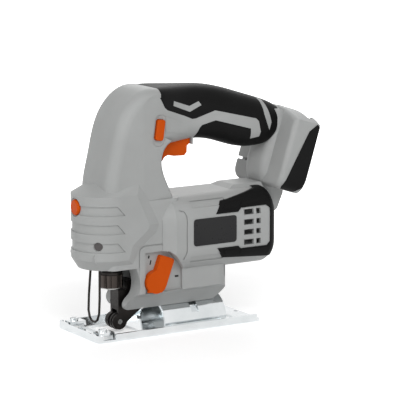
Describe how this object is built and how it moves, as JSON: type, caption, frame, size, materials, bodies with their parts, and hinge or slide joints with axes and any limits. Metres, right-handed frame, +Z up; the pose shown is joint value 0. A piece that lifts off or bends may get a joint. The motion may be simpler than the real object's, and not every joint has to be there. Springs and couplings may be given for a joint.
{
  "type": "cordless jigsaw",
  "caption": "Cordless jigsaw with a closed loop handle, a tilting sole plate, a reciprocating plunger with keyless blade clamp, an orbital roller guide and a slide-on battery dock.",
  "frame": {"origin": "centre of the sole plate's underside", "axes": "+X back to the battery dock, -X forward to the blade end, +Z up, -Y the side with the orbital selector lever"},
  "size_m": [0.2084, 0.0708, 0.1931],
  "materials": {
    "grey_plastic": "fine moulded texture",
    "soft_black": "soft matt overmould",
    "plate_black": "bare satin plate",
    "orange_plastic": "satin",
    "black_plastic": "satin",
    "clear_lens": "clear",
    "steel": "ground",
    "dark_steel": "oiled",
    "collar_steel": "turned",
    "bronze": "sintered",
    "cast_alloy": "as cast",
    "zinc": "bright plated",
    "copper": "turned",
    "magnet": "ceramic and carbon"
  },
  "bodies": {
    "housing": {"housing_left": "grey_plastic", "housing_right": "grey_plastic", "grip_sleeve_left": "soft_black", "grip_sleeve_right": "soft_black", "bumper_left": "soft_black", "bumper_right": "soft_black", "dock_pad_left": "soft_black", "dock_pad_right": "soft_black", "nameplate": "plate_black", "light_switch": "black_plastic", "work_light_lens": "clear_lens", "switch_module": "black_plastic", "bracket_pin": "steel", "lower_bush": "bronze", "upper_bush": "bronze", "gear_frame": "cast_alloy", "gear_shaft": "steel", "front_bearing": "steel", "rear_bearing": "steel", "motor_can": "zinc", "motor_magnets": "magnet", "motor_end_bell": "black_plastic", "carbon_brushes": "magnet", "battery_terminals": "black_plastic", "blade_guard": "dark_steel", "bevel_screw": "steel", "bevel_clamp_plate": "zinc", "housing_screws": "dark_steel"},
    "base": {"base_plate": "zinc", "bevel_cradle": "zinc", "cradle_rivets": "zinc", "fence_screws": "zinc"},
    "plunger": {"plunger_rod": "steel", "scotch_yoke": "dark_steel", "blade_clamp": "dark_steel", "clamp_snap_ring": "steel"},
    "collar": {"clamp_collar": "collar_steel"},
    "guide": {"roller_bracket": "dark_steel", "bracket_shield": "dark_steel", "roller_axle": "steel"},
    "roller": {"guide_roller": "dark_steel"},
    "selector": {"selector_lever": "orange_plastic", "selector_shaft": "steel"},
    "trigger": {"trigger": "orange_plastic"},
    "lock": {"lock_button": "orange_plastic"},
    "light_key": {"light_button": "orange_plastic"},
    "rotor": {"rotor_shaft": "steel", "rotor_core": "dark_steel", "commutator": "copper", "fan": "black_plastic", "pinion": "steel"},
    "gear": {"drive_gear": "steel"}
  },
  "joints": [
    {"name": "base_tilt", "type": "hinge", "parent": "housing", "child": "base", "pos_m": [0.022, 0, 0.002], "axis": [1, 0, 0], "range_deg": [-45, 45]},
    {"name": "plunger_stroke", "type": "slide", "parent": "housing", "child": "plunger", "axis": [0, 0, 1], "range_m": [0, 0.02]},
    {"name": "collar_twist", "type": "hinge", "parent": "plunger", "child": "collar", "pos_m": [-0.045, 0, 0.041], "axis": [0, 0, 1], "range_deg": [0, 60], "stiffness_Nm_per_rad": 0.05, "springref_deg": -20.05},
    {"name": "guide_swing", "type": "hinge", "parent": "housing", "child": "guide", "pos_m": [-0.024, 0, 0.021], "axis": [0, 1, 0], "range_deg": [0, 4]},
    {"name": "roller_spin", "type": "hinge", "parent": "guide", "child": "roller", "pos_m": [-0.0406, 0, 0.0083], "axis": [0, 1, 0], "continuous": true},
    {"name": "selector_turn", "type": "hinge", "parent": "housing", "child": "selector", "pos_m": [-0.0185, 0, 0.0413], "axis": [0, 1, 0], "range_deg": [-30, 60]},
    {"name": "trigger_pull", "type": "slide", "parent": "housing", "child": "trigger", "axis": [0, 0, 1], "range_m": [0, 0.007], "stiffness_N_per_m": 400, "springref_m": -0.004},
    {"name": "lock_push", "type": "slide", "parent": "housing", "child": "lock", "axis": [0, 1, 0], "range_m": [0, 0.003], "stiffness_N_per_m": 600, "springref_m": -0.002},
    {"name": "light_press", "type": "slide", "parent": "housing", "child": "light_key", "axis": [1, 0, 0], "range_m": [0, 0.0015], "stiffness_N_per_m": 900, "springref_m": -0.001},
    {"name": "rotor_spin", "type": "hinge", "parent": "housing", "child": "rotor", "pos_m": [0, 0, 0.078], "axis": [1, 0, 0], "continuous": true},
    {"name": "gear_spin", "type": "hinge", "parent": "housing", "child": "gear", "pos_m": [-0.023, 0, 0.1012], "axis": [1, 0, 0], "continuous": true}
  ],
  "couplings": [
    {"joint": "rotor_spin", "follows": "gear_spin", "ratio": -3.8333}
  ]
}
